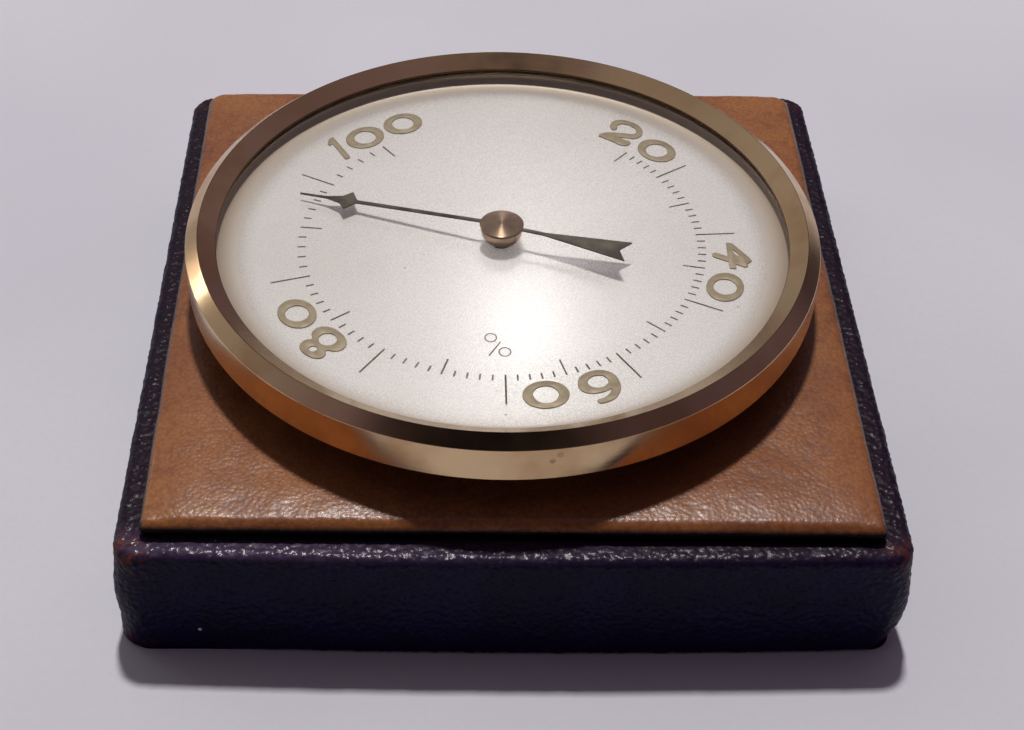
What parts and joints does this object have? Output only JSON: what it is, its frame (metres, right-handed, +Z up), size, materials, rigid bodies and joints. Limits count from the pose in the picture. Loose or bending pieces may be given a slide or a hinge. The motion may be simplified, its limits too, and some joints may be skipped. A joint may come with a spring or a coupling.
{
  "type": "desk hygrometer",
  "caption": "Desk hygrometer with a round dial, brass bezel and swallow-tailed pointer on a leather-topped block, and a hair, sector and pinion movement inside.",
  "frame": {"origin": "on the underside of the block, below the dial's centre", "axes": "+X to the reader's right, +Y away from the reader, +Z up through the dial"},
  "size_m": [0.101, 0.1025, 0.0333],
  "materials": {
    "base_board": "raw board, hidden",
    "black_covering": "pebbled leatherette, worn at the edges",
    "felt": "felt",
    "tan_leather": "soft wrinkled leather, satin",
    "case_metal": "dull",
    "bezel_brass": "polished, aged",
    "hub_brass": "turned",
    "movement_brass": "brushed",
    "steel": "brushed",
    "blackened_steel": "blackened, satin",
    "silvered_dial": "matt silvered",
    "dial_glass": "clear",
    "hair": "hair"
  },
  "bodies": {
    "base": {"base_block": "base_board", "base_wrap": "black_covering", "base_felt": "felt", "pad_board": "base_board", "pad_leather": "tan_leather", "case_drum": "case_metal", "case_screws": "steel", "spacer_ring": "case_metal", "bezel": "bezel_brass", "bezel_snap_ring": "steel", "glass": "dial_glass", "dial": "silvered_dial", "movement_plate": "movement_brass", "plate_spacers": "movement_brass", "plate_screws": "steel", "bridge_pillars": "movement_brass", "movement_bridge": "movement_brass", "bridge_screws": "steel", "pointer_bushes": "movement_brass", "sector_bushes": "movement_brass", "hairspring": "blackened_steel", "hairspring_stud": "steel", "calibration_bush": "movement_brass"},
    "pointer": {"pointer_arbor": "steel", "pointer_pinion": "steel", "hairspring_collet": "movement_brass", "pointer_collet": "hub_brass", "pointer_hand": "blackened_steel", "pointer_cap": "hub_brass"},
    "sector": {"sector_arbor": "steel", "toothed_sector": "movement_brass", "hook_pin": "steel"},
    "hair_line": {"hair_bundle": "hair", "hair_eyelet": "movement_brass"},
    "calibrator": {"calibration_shaft": "steel", "anchor_arm": "movement_brass"},
    "hair_clip": {"anchor_clip": "movement_brass"}
  },
  "joints": [
    {"name": "sector_swing", "type": "hinge", "parent": "base", "child": "sector", "pos_m": [-0.02094, 0.00976, 0.016], "axis": [0, 0, 1], "range_deg": [-24.69, 3.38]},
    {"name": "pointer_turn", "type": "hinge", "parent": "base", "child": "pointer", "pos_m": [0, 0, 0.016], "axis": [0, 0, 1], "range_deg": [-34, 247.1], "deforming": ["hairspring"]},
    {"name": "hair_hook_turn", "type": "hinge", "parent": "sector", "child": "hair_line", "pos_m": [-0.02143, 0.01242, 0.018], "axis": [0, 0, 1], "range_deg": [-3.5, 24.8]},
    {"name": "calibration_turn", "type": "hinge", "parent": "base", "child": "calibrator", "pos_m": [0.0315, 0.00792, 0.01], "axis": [0, 0, 1], "range_deg": [-8, 8]},
    {"name": "clip_turn", "type": "hinge", "parent": "calibrator", "child": "hair_clip", "pos_m": [0.0315, 0.01242, 0.018], "axis": [0, 0, 1], "range_deg": [-8.1, 8.1]}
  ],
  "couplings": [
    {"joint": "pointer_turn", "follows": "sector_swing", "ratio": -10},
    {"joint": "hair_hook_turn", "follows": "sector_swing", "ratio": -1},
    {"joint": "clip_turn", "follows": "calibration_turn", "ratio": -1}
  ]
}
